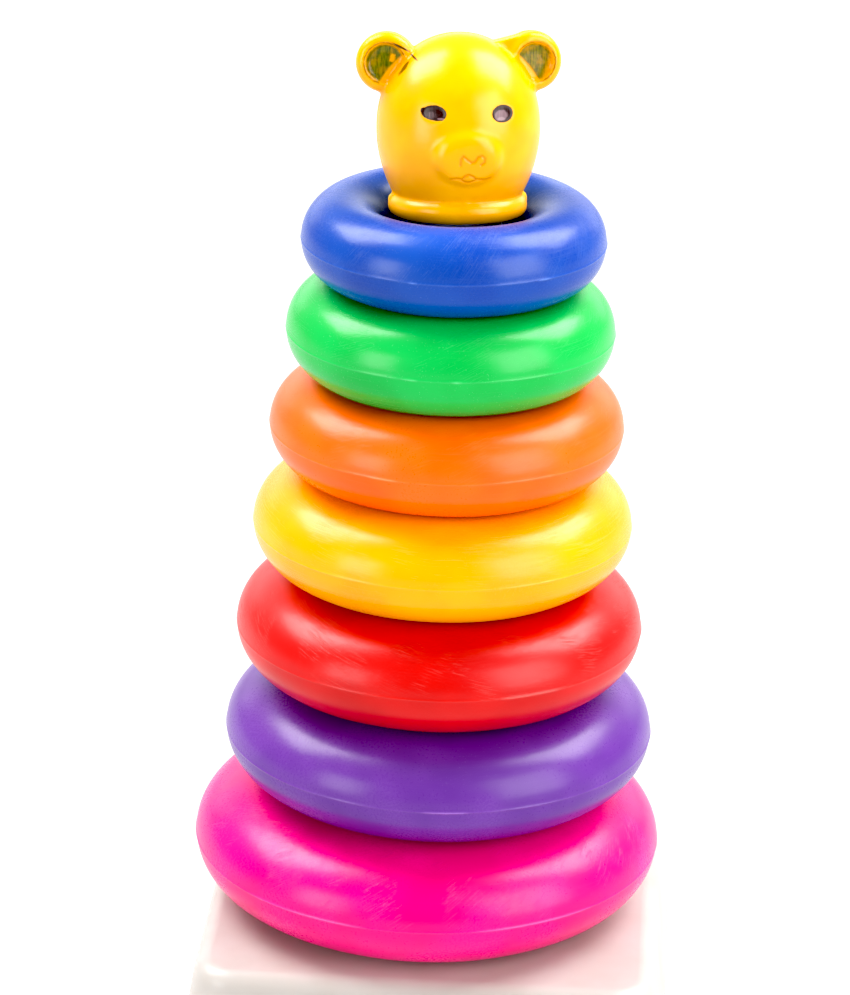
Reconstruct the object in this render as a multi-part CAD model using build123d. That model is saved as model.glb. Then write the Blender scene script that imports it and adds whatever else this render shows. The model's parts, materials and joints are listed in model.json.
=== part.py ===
from build123d import *
from math import atan2, cos, degrees, radians, sin
import os

# Stacking ring toy: seven hollow rings on a post, a bear's head on top, on a square base.
# Millimetres, +Z up, +X to the bear's left, the bear looks along -Y.
# The origin is on the table, under the middle of the base.

# Base: an open-bottomed shell that stands turned a little on the table
base_height = 30.0
base_top_half = 72.0
base_foot_half = 76.5
base_corner = 14.0
base_edge_round = 5.0
base_wall = 2.6
base_turn = -3.3
boss_outer = 19.5
boss_short = 1.0
rib_count = 8
rib_thickness = 2.0
rib_height = 14.0
rib_sink = 0.5
rib_short = 1.0
rib_corner_reach = 1.3

# Post: a hollow tube with a spigot in the base and a round nose for the head
post_foot_radius = 15.8
post_top_radius = 15.0
post_wall = 2.0
spigot_radius = 14.4
spigot_bottom = 3.0
spigot_gap = 0.05
shoulder_height = 255.8
nose_radius = 11.0
nose_height = 12.0
nose_round = 5.5

# Rings: each is an ellipse swung round the post, with a parting line at its equator.
# outer radius, half height and how far it lies to one side of the post's axis
rings = {
    "pink_ring": (75.0, 19.70, -3.7),
    "purple_ring": (68.3, 18.00, -0.8),
    "red_ring": (64.5, 17.60, -1.5),
    "yellow_ring": (59.8, 16.80, -1.3),
    "orange_ring": (55.5, 15.70, -0.8),
    "green_ring": (51.2, 15.30, -0.4),
    "blue_ring": (47.2, 13.65, -0.2),
}
hole_radius = 21.0
ring_wall = 1.7
parting_proud = 0.25
parting_width = 0.6
rest_gap = 0.15

# Head: a hollow bear's head with an open neck, tipped back on the post's nose
head_seat = (0.7, 0.0, 258.4)
head_turn = 7.5
head_tip_back = 8.0
head_wall = 2.0
skull_radius = 25.1
skull_above = 28.2
skull_below = 34.0
skull_centre = 28.1
profile_steps = 24
neck_top = 8.2
collar_radius = 21.4
collar_bottom_radius = 18.8
collar_widest = 3.2
collar_top = 6.6
collar_lip = 1.4
collar_crown = 1.0
neck_opening = 14.5
cavity_radius = 18.4
ear_radius = 9.2
ear_thickness = 8.5
ear_round = 3.4
ear_side = 22.2
ear_height = 47.4
ear_back = 0.5
ear_splay = 10.0
cup_radius = 6.3
cup_depth = 1.8
cup_out = 0.9
cup_round = 1.44
muzzle_half_width = 10.4
muzzle_half_height = 9.3
muzzle_height = 20.4
muzzle_front = 26.6
muzzle_dip = 10.0
muzzle_round = 2.4
mouth_side = 1.2
line_width = 0.8
line_depth = 0.6

# What stands on a plane, and a block large enough to cut the whole head with
standing = (Align.CENTER, Align.CENTER, Align.MIN)
hanging = (Align.CENTER, Align.CENTER, Align.MAX)
cutter_size = 80.0


def rounded_block(half, height, taper):
    """A square block with round corners whose sides lean in by taper degrees."""
    outline = RectangleRounded(2 * half, 2 * half, base_corner)
    return extrude(outline, amount=height, taper=taper)


def make_base():
    taper = degrees(atan2(base_foot_half - base_top_half, base_height))
    shell = rounded_block(base_foot_half, base_height, taper)
    top_edges = shell.faces().sort_by(Axis.Z)[-1].edges()
    shell = fillet(top_edges, base_edge_round)
    shell -= rounded_block(base_foot_half - base_wall, base_height - base_wall, taper)
    # ribs under the top, every other one out to a corner, and the boss that holds the post
    rib_foot = base_height - base_wall - rib_height + rib_sink
    for number in range(rib_count):
        reach = base_top_half * (rib_corner_reach if number % 2 else 1.0) - rib_short
        rib = Box(reach, rib_thickness, rib_height, align=(Align.MIN, Align.CENTER, Align.MIN))
        shell += Rot(0, 0, 360 * number / rib_count) * Pos(0, 0, rib_foot) * rib
    shell += Cylinder(boss_outer, base_height - boss_short, align=standing)
    shell -= Cylinder(spigot_radius + spigot_gap, base_height, align=standing)
    return Rot(0, 0, base_turn) * shell


def turned(points):
    """Turns the outline from the axis, through the points, back to the axis."""
    outline = Polyline((0, points[0][1]), *points, (0, points[-1][1]), close=True)
    return revolve(Plane.XZ * make_face(outline), Axis.Z)


def make_post():
    nose_top = shoulder_height + nose_height
    outside = turned([
        (spigot_radius, spigot_bottom),
        (spigot_radius, base_height),
        (post_foot_radius, base_height),
        (post_top_radius, shoulder_height),
        (nose_radius, shoulder_height),
        (nose_radius, nose_top),
    ])
    rims = outside.edges().filter_by(GeomType.CIRCLE).sort_by(Axis.Z)
    outside = fillet(rims[-1], nose_round)
    inside = turned([
        (spigot_radius - post_wall, spigot_bottom),
        (spigot_radius - post_wall, base_height),
        (post_top_radius - post_wall, shoulder_height - post_wall),
        (nose_radius - post_wall, shoulder_height - post_wall),
        (nose_radius - post_wall, nose_top - nose_round),
        (nose_round, nose_top - post_wall),
    ])
    return outside - inside


def make_ring(outer, half_height, shift, height):
    half_width = (outer - hole_radius) / 2
    tube = Pos(outer - half_width, 0) * Ellipse(half_width, half_height)
    flash = Rectangle(2 * (half_width + parting_proud), parting_width)
    hollow = Ellipse(half_width - ring_wall, half_height - ring_wall)
    wall = Plane.XZ * (tube + Pos(outer - half_width, 0) * flash - Pos(outer - half_width, 0) * hollow)
    return Pos(shift, 0, height) * revolve(wall, Axis.Z)


def make_ear(side):
    disc = Cylinder(ear_radius, ear_thickness)
    disc = fillet(disc.edges().filter_by(GeomType.CIRCLE), ear_round)
    cup = Pos(side * cup_out, 0, ear_thickness / 2) * Cylinder(cup_radius, 2 * cup_depth)
    cup = fillet(cup.faces().sort_by(Axis.Z)[0].edges(), cup_round)
    disc -= cup
    return Pos(side * ear_side, ear_back, ear_height) * Rot(90, 0, side * ear_splay) * disc


def make_skull(shrink):
    """A curve turned about Z: a domed crown over longer cheeks, smaller by shrink all round."""
    points = []
    for step in range(profile_steps + 1):
        angle = radians(180 * step / profile_steps - 90)
        reach = (skull_above if angle > 0 else skull_below) - shrink
        points.append(((skull_radius - shrink) * cos(angle), reach * sin(angle)))
    outline = Spline(*points, tangents=((1, 0), (-1, 0)), tangent_scalars=(0.4, 0.4))
    half = make_face([outline, Line(outline @ 1, outline @ 0)])
    return Pos(0, 0, skull_centre) * Rot(0, 0, 90) * revolve(Plane.XZ * half, Axis.Z)


def above(shape, height):
    """What is left of a shape above a height."""
    block = Box(cutter_size, cutter_size, cutter_size, align=hanging)
    return shape - Pos(0, 0, height) * block


def make_collar():
    with BuildPart() as collar:
        with BuildSketch(Plane.XZ):
            with BuildLine():
                Line((0, 0), (collar_bottom_radius, 0))
                ThreePointArc(
                    (collar_bottom_radius, 0),
                    (collar_radius, collar_widest),
                    (collar_radius - collar_lip, collar_top),
                )
                Polyline((collar_radius - collar_lip, collar_top), (0, collar_top + collar_crown), (0, 0))
            make_face()
        revolve(axis=Axis.Z)
    return collar.part


def muzzle_plane():
    """Faces forwards and a little down, from inside the head behind the muzzle."""
    pivot = muzzle_height + muzzle_front * sin(radians(muzzle_dip))
    return Pos(0, 0, pivot) * Rot(90 + muzzle_dip, 0, 0)


def make_face_lines():
    """The nose's two arches and the mouth, cut into the flat of the muzzle."""
    nose = Polyline((-3.8, -0.9), (-2.4, 1.4), (0, -0.8), (2.4, 1.4), (3.8, -0.9))
    mouth = ThreePointArc((-5.4, -5.0), (0, -5.8), (5.4, -5.0))
    lip = ThreePointArc((-1.8, -5.5), (0, -4.2), (1.8, -5.5))
    lines = Sketch() + [trace(line, line_width) for line in (nose, mouth, lip)]
    face = muzzle_plane() * Pos(mouth_side, 0, muzzle_front)
    return extrude(face * lines, amount=line_depth, both=True)


def make_head():
    head = above(make_skull(0), collar_top) + make_collar()
    muzzle = extrude(Ellipse(muzzle_half_width, muzzle_half_height), amount=muzzle_front)
    muzzle = fillet(muzzle.faces().sort_by(Axis.Z)[-1].edges(), muzzle_round)
    head += muzzle_plane() * muzzle
    for side in (-1, 1):
        head += make_ear(side)
    inside = above(make_skull(head_wall), neck_top)
    inside += Pos(0, 0, head_wall) * Cylinder(cavity_radius, neck_top, align=standing)
    head -= inside
    head -= Cylinder(neck_opening, neck_top, align=standing)
    head -= make_face_lines()
    return Pos(*head_seat) * Rot(0, 0, head_turn) * Rot(-head_tip_back, 0, 0) * head


os.makedirs("parts", exist_ok=True)
parts = {"base": make_base(), "post": make_post()}
support = base_height
for name, (outer, half_height, shift) in rings.items():
    height = support + rest_gap + half_height
    parts[name] = make_ring(outer, half_height, shift, height)
    support = height + half_height
    lift = shoulder_height + nose_height - (height - half_height)
    print(name, "centre at", round(height, 2), "lift to clear the post", round(lift, 1))
parts["bear_head"] = make_head()
for name, shape in parts.items():
    shape.label = name
    export_step(shape, f"parts/{name}.step")
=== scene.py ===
import json
from math import asin, atan2, cos, degrees, exp, hypot, pi, radians, sin

import bmesh
import bpy
from mathutils import Euler, Matrix, Vector, noise


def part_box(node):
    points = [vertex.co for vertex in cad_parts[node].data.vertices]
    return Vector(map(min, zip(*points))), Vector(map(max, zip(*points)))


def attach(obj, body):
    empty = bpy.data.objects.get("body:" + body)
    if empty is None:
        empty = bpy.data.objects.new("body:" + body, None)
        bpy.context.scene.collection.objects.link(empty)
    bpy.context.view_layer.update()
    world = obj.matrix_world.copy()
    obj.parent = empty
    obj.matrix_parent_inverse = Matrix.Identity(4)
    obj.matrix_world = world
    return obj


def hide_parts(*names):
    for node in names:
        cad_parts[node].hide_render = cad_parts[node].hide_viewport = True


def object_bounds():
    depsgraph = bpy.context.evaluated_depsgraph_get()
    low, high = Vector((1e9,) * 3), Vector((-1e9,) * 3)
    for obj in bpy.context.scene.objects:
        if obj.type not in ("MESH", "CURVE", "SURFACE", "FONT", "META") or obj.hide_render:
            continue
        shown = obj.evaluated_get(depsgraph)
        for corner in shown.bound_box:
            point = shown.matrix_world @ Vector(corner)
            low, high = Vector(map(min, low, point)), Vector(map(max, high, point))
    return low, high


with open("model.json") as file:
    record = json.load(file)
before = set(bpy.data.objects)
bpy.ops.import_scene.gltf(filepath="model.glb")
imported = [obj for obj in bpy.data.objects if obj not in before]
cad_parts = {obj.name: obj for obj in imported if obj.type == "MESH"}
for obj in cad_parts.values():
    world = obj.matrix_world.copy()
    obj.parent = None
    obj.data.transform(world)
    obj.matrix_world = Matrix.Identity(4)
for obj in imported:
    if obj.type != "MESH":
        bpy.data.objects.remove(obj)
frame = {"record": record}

mm = 0.001
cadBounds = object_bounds()
postFoot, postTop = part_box("post")
baseLow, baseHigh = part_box("base")


class Signal:
    # one shader socket, with the arithmetic that the finishes use
    def __init__(self, finish, socket):
        self.finish = finish
        self.socket = socket

    def work(self, operation, first, second=0.0):
        return self.finish.node("Math", {"operation": operation}, {0: first, 1: second})

    def __add__(self, other):
        return self.work("ADD", self, other)

    def __sub__(self, other):
        return self.work("SUBTRACT", self, other)

    def __rsub__(self, other):
        return self.work("SUBTRACT", other, self)

    def __mul__(self, other):
        return self.work("MULTIPLY", self, other)

    def __truediv__(self, other):
        return self.work("DIVIDE", self, other)

    def __pow__(self, other):
        return self.work("POWER", self, other)

    __radd__ = __add__
    __rmul__ = __mul__


class Finish:
    # one material and the nodes it is mixed from
    def __init__(self, name):
        self.material = bpy.data.materials.new(name)
        self.material.use_nodes = True
        self.tree = self.material.node_tree
        self.tree.nodes.clear()

    def node(self, kind, settings, inputs, out=0):
        made = self.tree.nodes.new("ShaderNode" + kind)
        for key, value in settings.items():
            setattr(made, key, value)
        for key, value in inputs.items():
            if isinstance(value, Signal):
                self.tree.links.new(value.socket, made.inputs[key])
            else:
                made.inputs[key].default_value = value
        return Signal(self, made.outputs[out]) if made.outputs else None

    def local(self, seat, turn=(0, 0, 0)):
        # the piece's own millimetres, measured from its seat
        here = self.node("TexCoord", {}, {}, out="Object")
        return self.node("Mapping", {"vector_type": "TEXTURE"},
                         {"Vector": here, "Location": seat, "Rotation": turn, "Scale": (mm, mm, mm)})

    def parts(self, vector):
        return [self.node("SeparateXYZ", {}, {"Vector": vector}, out=axis) for axis in "XYZ"]

    def join(self, x, y, z=0.0):
        return self.node("CombineXYZ", {}, {"X": x, "Y": y, "Z": z})

    def grain(self, vector, size, detail=3.0, rough=0.5):
        # cloudy noise, its spots about size long
        return self.node("TexNoise", {}, {"Vector": vector, "Scale": 1 / size, "Detail": detail,
                                          "Roughness": rough})

    def ramp(self, value, zero, one):
        # 0 at zero and past it, 1 at one and past it
        return self.node("MapRange", {"interpolation_type": "SMOOTHSTEP"},
                         {"Value": value, "From Min": zero, "From Max": one})

    def larger(self, first, second):
        return first.work("MAXIMUM", first, second)

    def tint(self, mask, under, over):
        return self.node("Mix", {"data_type": "RGBA"}, {0: mask, 6: under, 7: over}, out=2)

    def plastic(self, colour, rough, height, fixed):
        # height is in millimetres, and fixed holds what is the same all over
        relief = self.node("Bump", {}, {"Strength": 1.0, "Distance": mm, "Height": height})
        shader = self.node("BsdfPrincipled", {}, {"Base Color": colour, "Roughness": rough,
                                                  "Normal": relief, **fixed})
        self.node("OutputMaterial", {}, {"Surface": shader})
        return self.material


def paint(red, green, blue):
    # a screen colour, 0 to 255, as the shader's linear light
    return tuple(((part / 255 + 0.055) / 1.055) ** 2.4 for part in (red, green, blue)) + (1.0,)


def makePiece(bm, name, node, material, levels=0, sharp=None):
    mesh = bpy.data.meshes.new(name)
    bm.to_mesh(mesh)
    bm.free()
    mesh.shade_smooth()
    if sharp:
        mesh.set_sharp_from_angle(angle=radians(sharp))
    mesh.materials.append(material)
    piece = bpy.data.objects.new(name, mesh)
    bpy.context.scene.collection.objects.link(piece)
    if levels:
        smooth = piece.modifiers.new("smooth", "SUBSURF")
        smooth.levels = smooth.render_levels = levels
    bodies = frame["record"]["behaviour"]["bodies"]
    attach(piece, next(body for body in bodies if node in bodies[body]))
    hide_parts(node)
    print(name, len(mesh.vertices), "vertices")


def smoothed(bm, verts, times):
    for _ in range(times):
        bmesh.ops.smooth_vert(bm, verts=verts, factor=0.5, use_axis_x=True, use_axis_y=True,
                              use_axis_z=True)


def facesOutwards(bm):
    # turns the faces round where most of them look down
    if sum(face.normal.z * face.calc_area() for face in bm.faces) < 0:
        bmesh.ops.reverse_faces(bm, faces=bm.faces)


def spinProfile(bm, points, steps):
    # turns an open or closed outline of (radius, height) points about the upright axis
    verts = [bm.verts.new((radius, 0, height)) for radius, height in points]
    edges = [bm.edges.new(pair) for pair in zip(verts, verts[1:])]
    bmesh.ops.spin(bm, geom=verts + edges, cent=(0, 0, 0), axis=(0, 0, 1), angle=2 * pi,
                   steps=steps, use_merge=True)
    bmesh.ops.remove_doubles(bm, verts=bm.verts, dist=0.001 * mm)
    bmesh.ops.recalc_face_normals(bm, faces=bm.faces)


# The rings: colour and shade are the plastic's own, bare is where it is rubbed pale.
# Tabs are shreds of flash on the parting line: degrees round from the front, half length in
# degrees, how proud in mm.
ringShape = {
    "hole": 21.0 * mm,
    "partingProud": 0.25 * mm,
    "sectionSteps": 48,
    "turnSteps": 168,
    "ridgeHalf": 0.16 * mm,
    "ridgeFoot": 0.42 * mm,
    "ridgeProud": 0.16 * mm,
    "swell": 0.14 * mm,         # how far the blown wall wanders
    "swellLength": 24 * mm,
    "seamRagged": 0.35,         # share of the ridge's height that comes and goes
    "seamPale": (0.12, 0.1),    # how pale the ridge is, and how much that varies
    "tabPale": 0.9,
}
ringLooks = {
    "pink_ring": {
        "slot": "pink", "colour": (246, 0, 130), "shade": (232, 0, 114), "bare": (255, 96, 176),
        "rough": 0.27, "lean": 38, "scuffs": 1.0, "arcs": 0.25, "stipple": 0.3,
        "tabs": [(-31, 18, 0.28), (28, 18, 0.25)]},
    "purple_ring": {
        "slot": "purple", "colour": (106, 56, 152), "shade": (94, 46, 140), "bare": (176, 130, 214),
        "rough": 0.27, "lean": 20, "scuffs": 0.15, "arcs": 0.2, "stipple": 0.7,
        "tabs": [(2, 6.6, 0.5)]},
    "red_ring": {
        "slot": "red", "colour": (208, 22, 18), "shade": (194, 16, 14), "bare": (250, 96, 84),
        "rough": 0.29, "lean": -16, "scuffs": 1.0, "arcs": 0.3, "stipple": 0.3,
        "tabs": [(27, 10, 0.5), (31, 3, 0.4)]},
    "yellow_ring": {
        "slot": "yellow", "colour": (246, 172, 0), "shade": (240, 160, 0), "bare": (255, 222, 120),
        "rough": 0.25, "lean": -6, "scuffs": 0.5, "arcs": 1.0, "stipple": 0.2, "tabs": []},
    "orange_ring": {
        "slot": "orange", "colour": (250, 104, 18), "shade": (244, 92, 10), "bare": (255, 164, 110),
        "rough": 0.28, "lean": 25, "scuffs": 0.4, "arcs": 0.5, "stipple": 0.3,
        "tabs": [(-20, 5, 0.2)]},
    "green_ring": {
        "slot": "green", "colour": (24, 184, 78), "shade": (16, 172, 66), "bare": (120, 234, 160),
        "rough": 0.24, "lean": 25, "scuffs": 0.3, "arcs": 0.3, "stipple": 0.8,
        "tabs": [(-13.3, 2.0, 0.6), (1.5, 1.6, 0.6)]},
    "blue_ring": {
        "slot": "blue", "colour": (26, 74, 166), "shade": (18, 62, 156), "bare": (120, 156, 240),
        "rough": 0.26, "lean": 55, "scuffs": 0.45, "arcs": 0.35, "stipple": 0.5,
        "tabs": [(-14.3, 1.5, 0.4), (35.2, 2.0, 0.4)]},
}


def ringFinish(name, look, centre, outer, halfWidth):
    finish = Finish(name)
    here = finish.local(centre)
    x, y, z = finish.parts(here)
    away = (x * x + y * y) ** 0.5
    along = finish.node("Math", {"operation": "ARCTAN2"}, {0: x, 1: 0.0 - y}) * (outer / mm)
    over = finish.node("Math", {"operation": "ARCTAN2"}, {0: z, 1: away - (outer - halfWidth) / mm})
    over = over * (halfWidth / mm)

    def strokes(lean, length, width, seed):
        turn = radians(lean)
        slow = along * (cos(turn) / length) + over * (sin(turn) / length)
        fast = over * (cos(turn) / width) - along * (sin(turn) / width)
        return finish.grain(finish.join(slow, fast, seed), 1.0, 2.0, 0.6)

    cloud = finish.grain(here, 22, 2.0)
    patches = finish.grain(here, 13, 3.0)
    skin = finish.grain(here, 0.9, 4.0, 0.6)
    peel = finish.grain(here, 3.2, 2.0)
    upper = finish.ramp(z, -4.0, 5.0)
    scuffs = (finish.ramp(strokes(look["lean"], 9.0, 0.34, 3.1), 0.54, 0.66)
              * finish.ramp(patches, 0.45, 0.58) * upper * look["scuffs"])
    arcs = (finish.ramp(strokes(0, 26.0, 0.3, 7.7), 0.58, 0.7)
            * finish.ramp(cloud, 0.43, 0.58) * look["arcs"])
    pits = finish.ramp(finish.grain(here, 0.55, 1.0), 0.68, 0.76) * look["stipple"]
    flash = finish.node("Attribute", {"attribute_name": "flash"}, {}, out="Fac")
    colour = finish.tint(finish.ramp(cloud, 0.3, 0.7), paint(*look["colour"]), paint(*look["shade"]))
    colour = finish.tint(scuffs * 0.15 + arcs * 0.12 + pits * 0.14, colour, paint(*look["bare"]))
    colour = finish.tint(flash, colour, paint(*look["bare"]))
    rough = (look["rough"] - 0.06 + cloud * 0.06 + skin * 0.08 + scuffs * 0.16 + arcs * 0.12
             + pits * 0.1)
    height = (skin * 0.006 + peel * 0.03 - scuffs * 0.035 - arcs * 0.025 - pits * 0.03)
    return finish.plastic(colour, rough, height,
                          {"IOR": 1.45, "Specular IOR Level": 0.42})


def makeRing(node, look):
    low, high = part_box(node)
    centre = (low + high) / 2
    halfHeight = (high.z - low.z) / 2
    outer = (high.x - low.x) / 2 - ringShape["partingProud"]
    halfWidth = (outer - ringShape["hole"]) / 2
    middle = outer - halfWidth
    bm = bmesh.new()
    bmesh.ops.create_circle(bm, segments=ringShape["sectionSteps"], radius=1.0)
    bmesh.ops.scale(bm, vec=(halfWidth, halfHeight, 1), verts=bm.verts)
    bmesh.ops.rotate(bm, cent=(0, 0, 0), matrix=Matrix.Rotation(pi / 2, 3, "X"), verts=bm.verts)
    bmesh.ops.translate(bm, vec=(middle, 0, 0), verts=bm.verts)
    bmesh.ops.spin(bm, geom=bm.verts[:] + bm.edges[:], cent=(0, 0, 0), axis=(0, 0, 1), angle=2 * pi,
                   steps=ringShape["turnSteps"], use_merge=True)
    bmesh.ops.remove_doubles(bm, verts=bm.verts, dist=0.001 * mm)
    foot, ridge = ringShape["ridgeFoot"], ringShape["ridgeHalf"]
    for height in (-foot, -ridge, ridge, foot):
        bmesh.ops.bisect_plane(bm, geom=bm.verts[:] + bm.edges[:] + bm.faces[:],
                               plane_co=(0, 0, height), plane_no=(0, 0, 1))
    bmesh.ops.recalc_face_normals(bm, faces=bm.faces)
    bm.normal_update()
    flash = bm.verts.layers.float.new("flash")
    for vert in bm.verts:
        place = vert.co.copy()
        swell = noise.noise((place + centre) / ringShape["swellLength"]) * ringShape["swell"]
        crest = max(0.0, 1 - abs(place.z) / foot)
        outward = Vector((place.x, place.y, 0)).normalized()
        if hypot(place.x, place.y) < middle:
            outward.negate()
        bearing = degrees(atan2(place.x, -place.y))
        ragged = noise.noise(Vector((bearing * 0.9, centre.z * 50, 0)))
        proud = ringShape["ridgeProud"] * (1 + ringShape["seamRagged"] * ragged)
        pale = ringShape["seamPale"][0] + ringShape["seamPale"][1] * ragged
        for tabPlace, tabHalf, tabProud in look["tabs"]:
            reach = 1 - abs(bearing - tabPlace) / tabHalf
            if reach > 0 and hypot(place.x, place.y) > middle:
                share = min(1.0, reach * 4) * (0.75 + 0.25 * noise.noise(Vector((bearing * 2, 5, 1))))
                proud = max(proud, tabProud * mm * share)
                pale = max(pale, share * ringShape["tabPale"])
        vert[flash] = crest ** 2 * pale
        vert.co = place + vert.normal * swell * (1 - crest) + outward * proud * crest
    bmesh.ops.translate(bm, vec=centre, verts=bm.verts)
    material = ringFinish(node + "_plastic", look, centre, outer, halfWidth)
    makePiece(bm, node + "_moulding", node, material, levels=1)


for node, look in ringLooks.items():
    makeRing(node, look)
print("rings made")

# The base: an open-bottomed tray, turned a little, with a boss and ribs under its top
baseShape = {
    "height": 30.0 * mm,
    "topHalf": 72.0 * mm,
    "footHalf": 76.5 * mm,
    "corner": 14.0 * mm,
    "edgeRound": 5.0 * mm,
    "wall": 2.6 * mm,
    "turn": -3.3,
    "spigot": 14.45 * mm,
    "boss": 19.5 * mm,
    "ribThick": 2.0 * mm,
    "ribHeight": 14.0 * mm,
    "ribs": 8,
    "colour": (190, 184, 179),
    "shade": (182, 175, 168),
}


def whiteFinish():
    finish = Finish("milky_plastic")
    here = finish.local((0, 0, 0))
    cloud = finish.grain(here, 30, 3.0)
    skin = finish.grain(here, 1.1, 4.0, 0.6)
    peel = finish.grain(here, 4.0, 2.0)
    x, y, z = finish.parts(here)
    strokes = finish.grain(finish.join(x / 14 + y / 9, y / 0.4 - x / 0.5, z / 5), 1.0, 2.0)
    scuffs = finish.ramp(strokes, 0.6, 0.7) * finish.ramp(finish.grain(here, 16, 2.0), 0.5, 0.62)
    colour = finish.tint(finish.ramp(cloud, 0.3, 0.7), paint(*baseShape["colour"]),
                         paint(*baseShape["shade"]))
    rough = 0.3 + cloud * 0.08 + skin * 0.06 + scuffs * 0.12
    height = skin * 0.006 + peel * 0.03 - scuffs * 0.012
    return finish.plastic(colour, rough, height, {"IOR": 1.5, "Subsurface Weight": 0.35,
                                                  "Subsurface Radius": (1.0, 0.8, 0.7),
                                                  "Subsurface Scale": 3 * mm})


def makeBase(material):
    shape = baseShape
    bm = bmesh.new()
    bmesh.ops.create_grid(bm, x_segments=1, y_segments=1, size=shape["footHalf"])
    bmesh.ops.bevel(bm, geom=bm.verts[:], offset=shape["corner"], offset_type="OFFSET",
                    affect="VERTICES", segments=10, profile=0.5, material=-1)
    straight = [edge for edge in bm.edges if edge.calc_length() > shape["topHalf"]]
    bmesh.ops.subdivide_edges(bm, edges=straight, cuts=7)
    foot = bm.faces[:]
    walls = bmesh.ops.extrude_face_region(bm, geom=foot)
    top = [item for item in walls["geom"] if isinstance(item, bmesh.types.BMFace)]
    topVerts = [item for item in walls["geom"] if isinstance(item, bmesh.types.BMVert)]
    shrink = shape["topHalf"] / shape["footHalf"]
    bmesh.ops.scale(bm, vec=(shrink, shrink, 1), verts=topVerts)
    bmesh.ops.translate(bm, vec=(0, 0, shape["height"]), verts=topVerts)
    rim = list({edge for face in top for edge in face.edges})
    bmesh.ops.bevel(bm, geom=rim, offset=shape["edgeRound"], offset_type="OFFSET", affect="EDGES",
                    segments=6, profile=0.5, material=-1)
    # the flat top is drawn in to a round hole, and the foot is left open
    flat = max(bm.faces, key=lambda face: face.calc_center_median().z + len(face.verts))
    drawn = bmesh.ops.extrude_face_region(bm, geom=[flat])["geom"]
    for item in drawn:
        if isinstance(item, bmesh.types.BMVert):
            item.co.xy = item.co.xy.normalized() * shape["spigot"]
    lids = [face for face in bm.faces if len(face.verts) > 4]
    bmesh.ops.delete(bm, geom=lids, context="FACES_ONLY")
    bmesh.ops.recalc_face_normals(bm, faces=bm.faces)
    facesOutwards(bm)
    bmesh.ops.solidify(bm, geom=bm.faces, thickness=shape["wall"])
    for vert in bm.verts:
        vert.co.z = max(0.0, vert.co.z)
    boss = bmesh.ops.create_circle(bm, segments=64, radius=shape["boss"])
    bossEdges = list({edge for vert in boss["verts"] for edge in vert.link_edges})
    raised = bmesh.ops.extrude_edge_only(bm, edges=bossEdges)["geom"]
    bossTop = [item for item in raised if isinstance(item, bmesh.types.BMVert)]
    bmesh.ops.translate(bm, vec=(0, 0, shape["height"] - shape["wall"] / 2), verts=bossTop)
    bossFaces = [item for item in raised if isinstance(item, bmesh.types.BMFace)]
    bmesh.ops.recalc_face_normals(bm, faces=bossFaces)
    bmesh.ops.solidify(bm, geom=bossFaces, thickness=shape["boss"] - shape["spigot"])
    for step in range(shape["ribs"]):
        reach = shape["topHalf"] * (1.3 if step % 2 else 1.0) - 1.5 * mm
        length = reach - shape["spigot"] - 2 * mm
        rib = bmesh.ops.create_cube(bm, size=1.0)["verts"]
        bmesh.ops.scale(bm, vec=(length, shape["ribThick"], shape["ribHeight"]), verts=rib)
        ribTop = shape["height"] - shape["wall"] + 0.5 * mm
        bmesh.ops.translate(bm, vec=(reach - length / 2, 0, ribTop - shape["ribHeight"] / 2), verts=rib)
        bmesh.ops.rotate(bm, cent=(0, 0, 0), verts=rib,
                         matrix=Matrix.Rotation(2 * pi * step / shape["ribs"], 3, "Z"))
    bmesh.ops.rotate(bm, cent=(0, 0, 0), matrix=Matrix.Rotation(radians(shape["turn"]), 3, "Z"),
                     verts=bm.verts)
    bmesh.ops.translate(bm, vec=(0, 0, baseLow.z), verts=bm.verts)
    makePiece(bm, "base_moulding", "base", material, sharp=35)


# The post: a tube with a spigot below, a shoulder for the head and a round nose
postShape = {
    "wall": 2.0 * mm,
    "spigot": 14.4 * mm,
    "topRadius": 15.0 * mm,
    "nose": 11.0 * mm,
    "noseHeight": 12.0 * mm,
    "noseRound": 5.5 * mm,
    "steps": 96,
}


def makePost(material):
    shape = postShape
    footRadius = (postTop.x - postFoot.x) / 2
    shoulder = postTop.z - shape["noseHeight"]
    bend = [(shape["nose"] - shape["noseRound"] * (1 - cos(radians(turn))),
             postTop.z - shape["noseRound"] * (1 - sin(radians(turn)))) for turn in range(0, 91, 15)]
    outline = [(shape["spigot"], postFoot.z), (shape["spigot"], baseHigh.z),
               (footRadius - 0.6 * mm, baseHigh.z), (footRadius, baseHigh.z + 0.8 * mm)]
    rise = shoulder - 1.2 * mm - outline[-1][1]
    outline += [(footRadius + (shape["topRadius"] - footRadius) * step / 8,
                 outline[-1][1] + rise * step / 8) for step in range(1, 9)]
    outline += [(shape["topRadius"] - 0.35 * mm, shoulder - 0.3 * mm),
                (shape["topRadius"] - 1.2 * mm, shoulder),
                (shape["nose"] + 0.6 * mm, shoulder), (shape["nose"], shoulder + 0.6 * mm)]
    outline += bend
    bm = bmesh.new()
    spinProfile(bm, outline + [(0, postTop.z)], shape["steps"])
    facesOutwards(bm)
    bmesh.ops.solidify(bm, geom=bm.faces, thickness=shape["wall"])
    makePiece(bm, "post_tube", "post", material, sharp=40)


milky = whiteFinish()
makeBase(milky)
makePost(milky)
print("base and post made")

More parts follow.
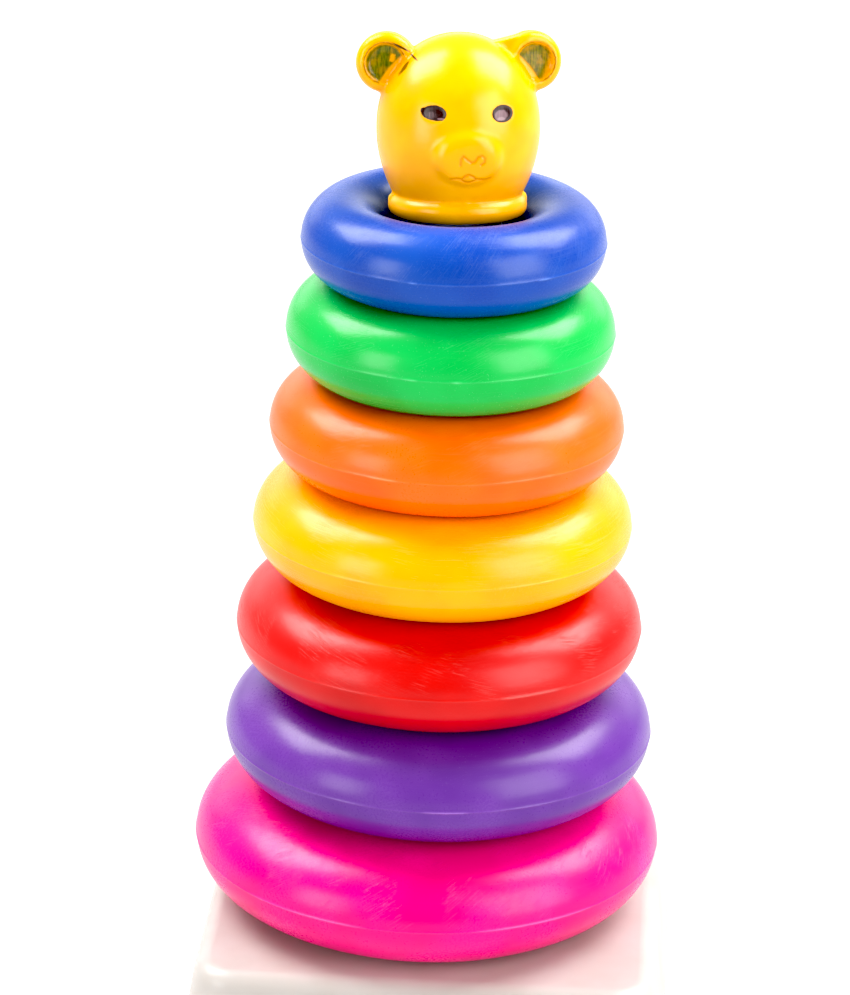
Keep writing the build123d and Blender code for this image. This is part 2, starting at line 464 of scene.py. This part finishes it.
# The head, in its own millimetres: up is +z, the face looks along -y, zero is under the collar.
# Left and right are the viewer's, so left is -x.
headShape = {
    "seatDrop": 9.4,        # the collar's foot under the post's top
    "aside": 0.7,
    "turn": 7.5,
    "tipBack": 8.0,
    "wall": 2.0,
    "skull": 25.1,
    "skullAbove": 28.2,
    "skullBelow": 34.0,
    "skullCentre": 28.1,
    "collarTop": 6.6,
    "collar": [(19.3, 6.9), (19.25, 6.5), (19.9, 6.35), (20.7, 5.7), (21.25, 4.6),
               (21.4, 3.2), (21.0, 1.9), (20.1, 0.7), (18.8, 0.0)],
    "neck": [(14.5, 0.0), (14.5, 2.0), (17.4, 2.0), (17.5, 8.2)],
    "insideFoot": 8.4,
    "steps": 128,
    "earRadius": 9.2,
    "earThick": 8.5,
    "earRound": 2.7,
    "earSide": 22.2,
    "earHeight": 47.32,
    "earBack": 0.5,
    "earSplay": 10.0,
    "cupSteps": [(0.35, 0.0), (0.25, -0.7), (0.35, -0.55), (0.6, -0.35), (1.2, -0.2)],  # inwards, down
    "cupAside": 0.9,
    "cupRadius": 6.3,
    "earWeb": [(22.0, 56.3), (9.5, 53.3), (14.0, 47.5), (18.2, 51.8)],
    "webThick": (-3.5, 3.8),
    "muzzle": (11.8, 10.5),
    "muzzleHeight": 20.4,
    "muzzleFront": 26.4,
    "muzzleDip": 10.0,
    "muzzleDome": 1.2,
    "muzzleShoulder": 4.5,
    "muzzleInside": 14,
    "muzzleSteps": 24,
    "mouthAside": 1.2,
    "eyeSide": 10.5,
    "eyeHeight": 34.3,
    "eyeHalf": (3.4, 2.6),
    "eyeSink": 0.28,
    "seamHalf": 0.3,
    "seamProud": 0.12,
    "tabProud": 0.8,        # the shreds on the seam beside the collar
    "tabHeight": 6.2,
    "tabLength": 1.3,
    "swell": 0.1,
    "swellLength": 9,
    "voxel": 0.56,
    "lineWidth": 0.4,
    "lineDepth": 0.28,
}
headSeat = Vector((headShape["aside"] * mm, 0, postTop.z - headShape["seatDrop"] * mm))
headTurn = Euler((radians(-headShape["tipBack"]), 0, radians(headShape["turn"])))


def skullOutline(shrink, start, stop, steps):
    shape = headShape
    points = []
    for step in range(steps + 1):
        angle = radians(start + (stop - start) * step / steps)
        reach = shape["skullAbove"] if angle > 0 else shape["skullBelow"]
        points.append(((shape["skull"] - shrink) * cos(angle),
                       shape["skullCentre"] + (reach - shrink) * sin(angle)))
    return points


def makeHeadBlank():
    # the shell, ears and muzzle, still overlapping, in millimetres
    shape = headShape
    bm = bmesh.new()
    cheek = degrees(asin((shape["collarTop"] + 0.5 - shape["skullCentre"]) / shape["skullBelow"]))
    insideBelow = shape["skullBelow"] - shape["wall"]
    inner = degrees(asin((shape["insideFoot"] - shape["skullCentre"]) / insideBelow))
    outside = skullOutline(0, 90, cheek, 30)
    inside = skullOutline(shape["wall"], inner, 90, 30)
    outline = [(0, outside[0][1])] + outside[1:] + shape["collar"] + shape["neck"] + inside[:-1]
    spinProfile(bm, outline + [(0, inside[-1][1])], shape["steps"])
    for side in (-1, 1):
        before = set(bm.verts)
        bmesh.ops.create_cone(bm, cap_ends=True, segments=64, radius1=shape["earRadius"],
                              radius2=shape["earRadius"], depth=shape["earThick"])
        ear = [vert for vert in bm.verts if vert not in before]
        rims = [edge for edge in {edge for vert in ear for edge in vert.link_edges}
                if abs(edge.verts[0].co.z - edge.verts[1].co.z) < 0.1]
        bmesh.ops.bevel(bm, geom=rims, offset=shape["earRound"], offset_type="OFFSET", affect="EDGES",
                        segments=6, profile=0.5, material=-1)
        ear = [vert for vert in bm.verts if vert not in before]
        front = max((face for face in bm.faces if face.verts[0] in ear),
                    key=lambda face: len(face.verts) + face.calc_center_median().z)
        for thickness, depth in shape["cupSteps"]:
            bmesh.ops.inset_region(bm, faces=[front], thickness=thickness, depth=depth)
        bmesh.ops.poke(bm, faces=[front])
        ear = [vert for vert in bm.verts if vert not in before]
        place = (Matrix.Translation((side * shape["earSide"], shape["earBack"], shape["earHeight"]))
                 @ Euler((pi / 2, 0, radians(side * shape["earSplay"]))).to_matrix().to_4x4())
        bmesh.ops.transform(bm, matrix=place, verts=ear)
    # the right ear's upper side runs on over the crown
    web = [bm.verts.new((across, ahead, upward)) for across, upward in shape["earWeb"]
           for ahead in shape["webThick"]]
    bmesh.ops.convex_hull(bm, input=web)
    # the muzzle is a low dome, steeper towards its rim
    before = set(bm.verts)
    dome = []
    for step in range(shape["muzzleSteps"] + 1):
        share = step / shape["muzzleSteps"]
        drop = shape["muzzleDome"] * share ** 2 + shape["muzzleShoulder"] * share ** 6
        dome.append((share, shape["muzzleFront"] - drop))
    spinProfile(bm, dome + [(1, shape["muzzleInside"]), (0, shape["muzzleInside"])], 72)
    puck = [vert for vert in bm.verts if vert not in before]
    bmesh.ops.scale(bm, vec=shape["muzzle"] + (1,), verts=puck)
    pivot = shape["muzzleHeight"] + shape["muzzleFront"] * sin(radians(shape["muzzleDip"]))
    tip = Matrix.Rotation(radians(90 + shape["muzzleDip"]), 4, "X")
    place = Matrix.Translation((0, 0, pivot)) @ tip
    bmesh.ops.transform(bm, matrix=place, verts=puck)
    bmesh.ops.recalc_face_normals(bm, faces=bm.faces)
    return bm


def remeshed(bm, voxel):
    # one skin over everything that overlaps
    mesh = bpy.data.meshes.new("head_blank")
    bm.to_mesh(mesh)
    bm.free()
    blank = bpy.data.objects.new("head_blank", mesh)
    bpy.context.scene.collection.objects.link(blank)
    modifier = blank.modifiers.new("skin", "REMESH")
    modifier.mode = "VOXEL"
    modifier.voxel_size = voxel
    bpy.context.view_layer.update()
    depsgraph = bpy.context.evaluated_depsgraph_get()
    skin = bpy.data.meshes.new_from_object(blank.evaluated_get(depsgraph))
    result = bmesh.new()
    result.from_mesh(skin)
    bpy.data.objects.remove(blank)
    bpy.data.meshes.remove(skin)
    bpy.data.meshes.remove(mesh)
    return result


def lineDistance(x, z, points):
    # how far a spot on the face is from a bent line
    nearest = 100.0
    spot = Vector((x, z))
    for start, end in zip(points, points[1:]):
        first, last = Vector(start), Vector(end)
        run = last - first
        share = max(0.0, min(1.0, (spot - first).dot(run) / run.length_squared))
        nearest = min(nearest, (spot - first - run * share).length)
    return nearest


# Lines cut into the muzzle: millimetres across and up
faceLines = {
    "nose": [(-2.7, 19.1), (-2.6, 21.0), (-1.9, 21.9), (-0.6, 20.8), (0.6, 19.9), (1.5, 20.1),
             (2.6, 21.6), (3.9, 22.0), (4.7, 21.2), (4.6, 19.9), (3.6, 19.2)],
    "mouthLeft": [(-5.4, 14.6), (-3.6, 14.9), (-2.0, 14.6)],
    "mouthRight": [(2.0, 14.8), (3.6, 14.5), (5.4, 14.4), (6.8, 14.8)],
    "lipTop": [(-2.0, 14.6), (-1.2, 15.6), (-0.1, 16.1), (1.1, 15.6), (2.0, 14.8)],
    "lipFoot": [(-2.2, 14.5), (-1.2, 13.9), (-0.1, 13.6), (1.1, 13.9), (2.2, 14.5)],
}


def makeHead():
    shape = headShape
    bm = remeshed(makeHeadBlank(), shape["voxel"])
    smoothed(bm, bm.verts, 3)
    # the muzzle's foot runs softly into the cheeks
    halfX, halfZ = shape["muzzle"]
    foot = [vert for vert in bm.verts if vert.co.y < -15
            and 0.7 < hypot(vert.co.x / halfX, (vert.co.z - shape["muzzleHeight"]) / halfZ) < 1.1]
    smoothed(bm, foot, 6)
    # finer faces where the nose and mouth are cut
    aside = shape["mouthAside"]
    near = [edge for edge in bm.edges if all(vert.co.y < -23.5 and abs(vert.co.x - aside) < 7.5
                                             and 12.6 < vert.co.z < 24.6 for vert in edge.verts)]
    bmesh.ops.subdivide_edges(bm, edges=near, cuts=2, use_grid_fill=True)
    bm.normal_update()
    seam = shape["seamHalf"]
    for offset in (-seam, 0.0, seam):
        bmesh.ops.bisect_plane(bm, geom=bm.verts[:] + bm.edges[:] + bm.faces[:],
                               plane_co=(0, offset, 0), plane_no=(0, 1, 0))
    bm.normal_update()
    flash = bm.verts.layers.float.new("flash")
    cut = bm.verts.layers.float.new("cut")
    for vert in bm.verts:
        x, y, z = vert.co
        swell = shape["swell"] * noise.noise(vert.co / shape["swellLength"])
        outside = vert.normal.dot(Vector((x, 0, z - 28))) > 0
        crest = max(0.0, 1 - abs(y) / seam) if outside else 0.0
        tab = exp(-((z - shape["tabHeight"]) / shape["tabLength"]) ** 2) if hypot(x, y) > 18 else 0.0
        push = crest * (shape["seamProud"] + shape["tabProud"] * tab)
        depth = 0.0
        if y < -22 and abs(x - aside) < 8 and 12 < z < 25:
            for line in faceLines.values():
                depth = max(depth, exp(-(lineDistance(x, z, line) / shape["lineWidth"]) ** 2))
        if y < 0:
            for eyeSide in (-1, 1):
                reach = hypot((x - eyeSide * shape["eyeSide"]) / shape["eyeHalf"][0],
                              (z - shape["eyeHeight"]) / shape["eyeHalf"][1])
                push -= shape["eyeSink"] * max(0.0, min(1.0, (1.12 - reach) / 0.25))
        vert[flash] = crest * (0.3 + 0.6 * tab)
        vert[cut] = depth
        vert.co += vert.normal * (swell + push - shape["lineDepth"] * depth)
    place = Matrix.Translation(headSeat) @ headTurn.to_matrix().to_4x4() @ Matrix.Scale(mm, 4)
    bmesh.ops.transform(bm, matrix=place, verts=bm.verts)
    makePiece(bm, "bear_head_moulding", "bear_head", headFinish())


headPaint = {
    "colour": (250, 175, 0),
    "shade": (244, 164, 0),
    # painted shade for the cut lines
    "grooveShade": (206, 104, 0),
    "bare": (255, 232, 90),
    "eyeRim": (40, 8, 4),
    # the eyes' grey and pale are a painted reflection and a painted highlight of the lamps
    "eyeReflection": (128, 98, 104),
    "eyeHighlight": (196, 168, 172),
    "ear": (104, 112, 6),
    "earDeep": (30, 74, 14),
    # painted shadow at the ear cups' rims
    "earRimShadow": (128, 84, 0),
    "stray": (74, 52, 6),
}
# Ovals on the eyes: the dark paint, and on it a painted reflection and painted highlights of the lamps;
# middle across and up, half width and half height
eyeOvals = {
    "left": (-10.4, 34.4, 3.7, 2.5),
    "leftEnds": (-9.6, 34.6, 4.4, 2.3),
    "leftCorner": (-13.1, 35.1, 1.1, 1.0),
    "leftEyeReflection": (-11.0, 33.9, 1.9, 1.2),
    "leftGlint": (-8.3, 32.9, 1.2, 0.35),
    "right": (10.5, 34.2, 3.4, 2.6),
    "rightEyeReflection": (10.0, 33.7, 2.3, 1.7),
    "rightEyeHighlight": (9.9, 32.7, 1.5, 0.6),
}
strayHalfWide = 0.34
# Strokes of paint: middle across and up, half length, lean in degrees, strength
strayStrokes = [
    (-18.2, 52.2, 3.2, -27, 1.0),
    (-17.6, 46.4, 2.8, 52, 0.85),
    (-14.7, 49.6, 1.1, -45, 1.0),
]


def headFinish():
    finish = Finish("head_plastic")
    here = finish.local(headSeat, headTurn)
    x, y, z = finish.parts(here)
    cloud = finish.grain(here, 12, 2.0)
    skin = finish.grain(here, 0.8, 4.0, 0.6)
    peel = finish.grain(here, 2.6, 2.0)
    wobble = finish.grain(here, 1.4, 2.0) - 0.5
    brush = finish.grain(finish.join(x / 0.42, y / 3.0, z / 3.4), 1.0, 3.0, 0.6)
    facing = finish.ramp(y, -2.0, -4.0)

    def oval(centreX, centreZ, halfX, halfZ):
        # 0 in the middle, 1 on the rim
        across = (x - centreX) / halfX
        upward = (z - centreZ) / halfZ
        return (across * across + upward * upward) ** 0.5

    def blot(name, ragged, edge, core):
        # one painted oval with a ragged edge
        return finish.ramp(oval(*eyeOvals[name]) + wobble * ragged, edge, core)

    def hue(name):
        return paint(*headPaint[name])

    flash = finish.node("Attribute", {"attribute_name": "flash"}, {}, out="Fac")
    cut = finish.node("Attribute", {"attribute_name": "cut"}, {}, out="Fac")
    colour = finish.tint(finish.ramp(cloud, 0.3, 0.7), hue("colour"), hue("shade"))
    # painted shade darkens the cut nose and mouth lines
    colour = finish.tint(cut * 0.5, colour, hue("grooveShade"))
    colour = finish.tint(flash * 0.5, colour, hue("bare"))
    shimmer = finish.ramp(brush, 0.35, 0.66)
    leftEye = finish.larger(oval(*eyeOvals["left"]), oval(*eyeOvals["leftEnds"])) + wobble * 0.12
    leftEye = finish.ramp(leftEye, 1.04, 0.96) * facing
    leftEye = finish.larger(leftEye, blot("leftCorner", 0.3, 1.1, 0.9) * facing)
    # painted reflection of the lamps in the left eye's glossy paint, with a painted highlight
    leftEyeReflection = blot("leftEyeReflection", 0.8, 1.0, 0.5) * shimmer * 0.45
    glint = blot("leftGlint", 0.5, 1.1, 0.6)
    inside = finish.tint(finish.larger(leftEyeReflection, glint), hue("eyeRim"), hue("eyeReflection"))
    colour = finish.tint(leftEye, colour, inside)
    rightEye = blot("right", 0.12, 1.04, 0.96) * facing
    # painted reflection and a painted highlight in the right eye
    rightEyeReflection = blot("rightEyeReflection", 0.5, 1.05, 0.75) * (shimmer * 0.3 + 0.7)
    inside = finish.tint(rightEyeReflection, hue("eyeRim"), hue("eyeReflection"))
    inside = finish.tint(blot("rightEyeHighlight", 0.5, 1.2, 0.5) * 0.3, inside, hue("eyeHighlight"))
    colour = finish.tint(rightEye, colour, inside)
    painted = leftEye + rightEye
    # green brushed thinly inside the ears, over a painted shadow line round the cup's rim, with a bare
    # patch on the left one
    ahead = finish.ramp(y, 0.2, -0.6) * finish.ramp(oval(0, 28, 30, 30), 0.92, 0.95)
    for side in (-1, 1):
        centreX = side * (headShape["earSide"] + headShape["cupAside"])
        centreZ = headShape["earHeight"]
        rim = oval(centreX, centreZ, headShape["cupRadius"], headShape["cupRadius"]) + wobble * 0.12
        cup = finish.ramp(rim, 1.0, 0.8) * ahead
        streaks = finish.ramp(brush, 0.36, 0.64)
        green = finish.tint(streaks, hue("earDeep"), hue("ear"))
        thin = finish.ramp(finish.grain(here, 2.2, 2.0), 0.28, 0.6)
        if side < 0:
            bare = finish.ramp(oval(centreX + 2.4, centreZ + 1.5, 1.0, 1.3) + wobble * 1.2, 1.2, 0.5)
            cover = cup * (thin * 0.2 + 0.76) * (1.0 - bare * 0.9)
        else:
            band = finish.ramp((x - centreX) * 0.8 - (z - centreZ) * 0.3 + wobble * 1.6, 4.6, 2.6)
            cover = cup * (thin * 0.3 + 0.62) * band
        # painted shadow along the cup's rim
        line = finish.ramp(rim, 0.93, 0.98) * finish.ramp(rim, 1.07, 1.0) * ahead
        colour = finish.tint(cover, colour, green)
        colour = finish.tint(line * (thin * 0.4 + 0.35), colour, hue("earRimShadow"))
        painted = painted + cup
    # strokes where the brush slipped off the left ear
    for centreX, centreZ, halfLong, lean, strength in strayStrokes:
        turn = radians(lean)
        aside, upward = x - centreX, z - centreZ
        across = aside * (cos(turn) / halfLong) + upward * (sin(turn) / halfLong)
        beside = upward * (cos(turn) / strayHalfWide) - aside * (sin(turn) / strayHalfWide)
        reach = (across * across + beside * beside) ** 0.5 + wobble * 0.8
        mark = finish.ramp(reach, 1.3, 0.6) * finish.ramp(y, -0.5, -1.0)
        colour = finish.tint(mark * strength, colour, hue("stray"))
    rough = 0.2 + cloud * 0.05 + skin * 0.05 - painted * 0.04
    height = skin * 0.004 + peel * 0.02 + painted * (brush * 0.03 + 0.02)
    return finish.plastic(colour, rough, height, {"IOR": 1.45, "Specular IOR Level": 0.42})


makeHead()
print("head made")

# The floor, the lights and the camera
stage = {
    "floorHalf": 6.0,
    "floorGlow": 1.02,
    "skyLight": 0.5,
    "lens": 147.4,
    "cameraPlace": (-0.00702, -1.19905, 0.62984),
    "cameraTurn": (68.803, -1.399, 0.542),
}
# A light's place is degrees round from the front, degrees up and metres away
softBoxes = {
    "backLeft": {"place": (-112, 53, 2.0), "size": (1.1, 1.3), "power": 56.0},
    "backRight": {"place": (114, 52, 2.0), "size": (1.2, 1.3), "power": 56.0},
    "frontLeft": {"place": (-51, 12, 1.9), "size": (0.7, 1.0), "power": 13.0},
    "frontRight": {"place": (52, 22, 1.9), "size": (1.2, 1.5), "power": 31.0},
    "backdrop": {"place": (180, 13, 3.0), "size": (5.0, 1.1), "power": 22.0},
}


def makeFloor():
    bm = bmesh.new()
    bmesh.ops.create_grid(bm, x_segments=8, y_segments=8, size=stage["floorHalf"])
    bmesh.ops.translate(bm, vec=(0, 0, cadBounds[0].z), verts=bm.verts)
    mesh = bpy.data.meshes.new("floor")
    bm.to_mesh(mesh)
    bm.free()
    finish = Finish("floor_white")
    here = finish.local((0, 0, 0))
    cloud = finish.grain(here, 400, 2.0)
    glow = {"Emission Color": (1, 1, 1, 1), "Emission Strength": stage["floorGlow"],
            "Specular IOR Level": 0.0}
    mesh.materials.append(finish.plastic(paint(90, 90, 90), 0.7 + cloud * 0.1, cloud * 0.01, glow))
    floor = bpy.data.objects.new("floor", mesh)
    bpy.context.scene.collection.objects.link(floor)


def makeLight(name, box):
    light = bpy.data.lights.new(name, "AREA")
    light.shape = "RECTANGLE"
    light.size, light.size_y = box["size"]
    light.energy = box["power"]
    lamp = bpy.data.objects.new(name, light)
    bearing, rise, far = radians(box["place"][0]), radians(box["place"][1]), box["place"][2]
    middle = Vector((0, 0, (cadBounds[0].z + cadBounds[1].z) / 2))
    ahead = Vector((sin(bearing) * cos(rise), -cos(bearing) * cos(rise), sin(rise)))
    lamp.location = middle + far * ahead
    aim = middle - lamp.location
    lamp.rotation_euler = aim.to_track_quat("-Z", "Y").to_euler()
    bpy.context.scene.collection.objects.link(lamp)


def makeSky():
    world = bpy.data.worlds.new("sky")
    bpy.context.scene.world = world
    world.use_nodes = True
    background = world.node_tree.nodes["Background"]
    background.inputs["Color"].default_value = (1, 1, 1, 1)
    background.inputs["Strength"].default_value = stage["skyLight"]


def makeCamera():
    camera = bpy.data.cameras.new("camera")
    camera.lens = stage["lens"]
    camera.sensor_width = 36.0
    eye = bpy.data.objects.new("camera", camera)
    eye.location = stage["cameraPlace"]
    eye.rotation_euler = [radians(angle) for angle in stage["cameraTurn"]]
    bpy.context.scene.collection.objects.link(eye)
    bpy.context.scene.camera = eye


makeFloor()
for name, box in softBoxes.items():
    makeLight(name, box)
makeSky()
makeCamera()
view = bpy.context.scene.view_settings
view.view_transform = "Standard"
view.use_curve_mapping = True
view.curve_mapping.black_level = (0.024, 0.024, 0.024)
bpy.context.view_layer.update()
print("scene made")
